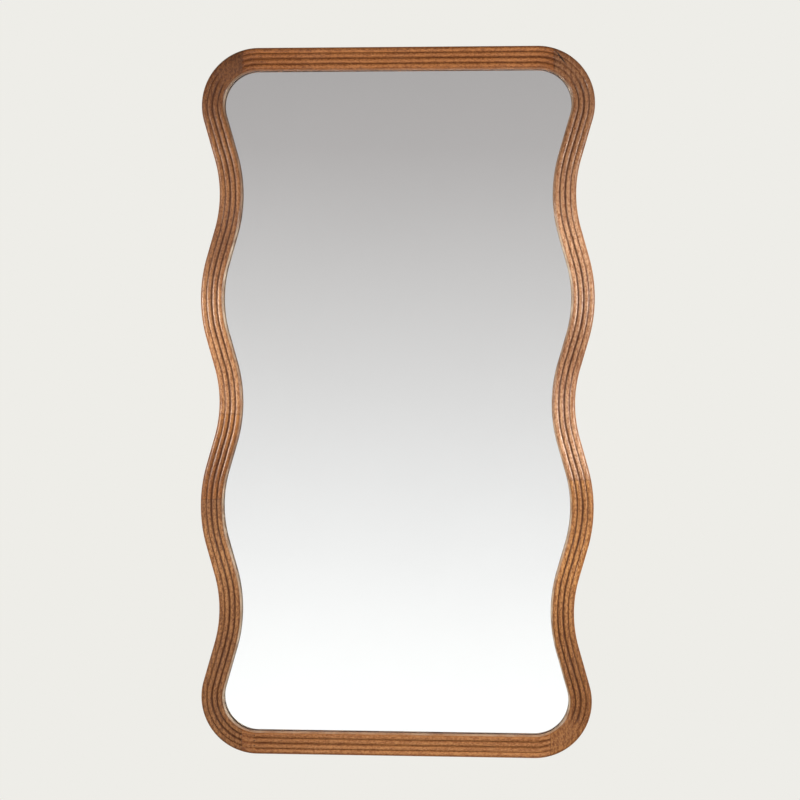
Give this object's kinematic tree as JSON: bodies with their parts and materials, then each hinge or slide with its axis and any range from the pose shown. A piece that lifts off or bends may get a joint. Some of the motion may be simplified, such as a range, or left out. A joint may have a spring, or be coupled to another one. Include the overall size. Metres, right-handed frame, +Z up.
{
  "type": "wall mirror",
  "caption": "Tall wall mirror in a reeded solid-wood frame with wavy long sides, straight rails and round corners, with a screwed back board, strap hangers and bumpers.",
  "frame": {"origin": "middle of the outline, in the plane of the wall that the bumpers touch", "axes": "+Z up the height, +X to the right as seen from the front, +Y from the front of the mirror to the wall"},
  "size_m": [1, 0.0365, 1.8],
  "materials": {
    "top_rail_wood": "semi-gloss lacquer over a mid-brown stain",
    "bottom_rail_wood": "semi-gloss lacquer over a mid-brown stain",
    "left_side_upper_wood": "semi-gloss lacquer over a mid-brown stain",
    "left_side_middle_wood": "semi-gloss lacquer over a dark brown stain",
    "left_side_lower_wood": "semi-gloss lacquer over a mid-brown stain",
    "right_side_upper_wood": "semi-gloss lacquer over a light tan stain",
    "right_side_lower_wood": "semi-gloss lacquer over a red-brown stain",
    "dowel_wood": "bare fluted beech",
    "silvered_glass": "silvered, polished edge",
    "black_foam_tape": "matt",
    "black_rubber": "matt",
    "clear_film": "matt",
    "white_foam": "matt",
    "fibreboard": "bare, slightly fuzzy",
    "yellow_zinc_steel": "yellow zinc",
    "nickel_steel": "bright nickel",
    "grey_rubber": "matt, slightly see-through grey"
  },
  "bodies": {
    "mirror": {"top_rail": "top_rail_wood", "bottom_rail": "bottom_rail_wood", "left_side_upper": "left_side_upper_wood", "left_side_middle": "left_side_middle_wood", "left_side_lower": "left_side_lower_wood", "right_side_upper": "right_side_upper_wood", "right_side_lower": "right_side_lower_wood", "dowels_top_left": "dowel_wood", "dowels_top_right": "dowel_wood", "dowels_bottom_left": "dowel_wood", "dowels_bottom_right": "dowel_wood", "dowels_left_upper": "dowel_wood", "dowels_left_lower": "dowel_wood", "dowels_right": "dowel_wood", "mirror_glass": "silvered_glass", "glazing_tape": "black_foam_tape", "setting_blocks": "black_rubber", "safety_film": "clear_film", "foam_sheet": "white_foam", "backing_board": "fibreboard", "backing_screws": "yellow_zinc_steel", "hanger_strap_left": "nickel_steel", "hanger_strap_right": "nickel_steel", "hanger_strap_top": "nickel_steel", "hanger_strap_bottom": "nickel_steel", "hanger_screws": "nickel_steel", "wall_bumper_top_left": "grey_rubber", "wall_bumper_top_right": "grey_rubber", "wall_bumper_bottom_left": "grey_rubber", "wall_bumper_bottom_right": "grey_rubber"},
    "ring_left": {"hanger_ring_left": "nickel_steel"},
    "ring_right": {"hanger_ring_right": "nickel_steel"},
    "ring_top": {"hanger_ring_top": "nickel_steel"},
    "ring_bottom": {"hanger_ring_bottom": "nickel_steel"}
  },
  "joints": [
    {"name": "ring_swing_left", "type": "hinge", "parent": "mirror", "child": "ring_left", "pos_m": [-0.43538, -0.0035, 0.56], "axis": [-1, 0, 0], "range_deg": [0, 175]},
    {"name": "ring_swing_right", "type": "hinge", "parent": "mirror", "child": "ring_right", "pos_m": [0.43538, -0.0035, 0.56], "axis": [-1, 0, 0], "range_deg": [0, 175]},
    {"name": "ring_swing_top", "type": "hinge", "parent": "mirror", "child": "ring_top", "pos_m": [-0.33, -0.0035, 0.882], "axis": [0, 0, -1], "range_deg": [0, 175]},
    {"name": "ring_swing_bottom", "type": "hinge", "parent": "mirror", "child": "ring_bottom", "pos_m": [-0.33, -0.0035, -0.882], "axis": [0, 0, -1], "range_deg": [0, 175]}
  ]
}
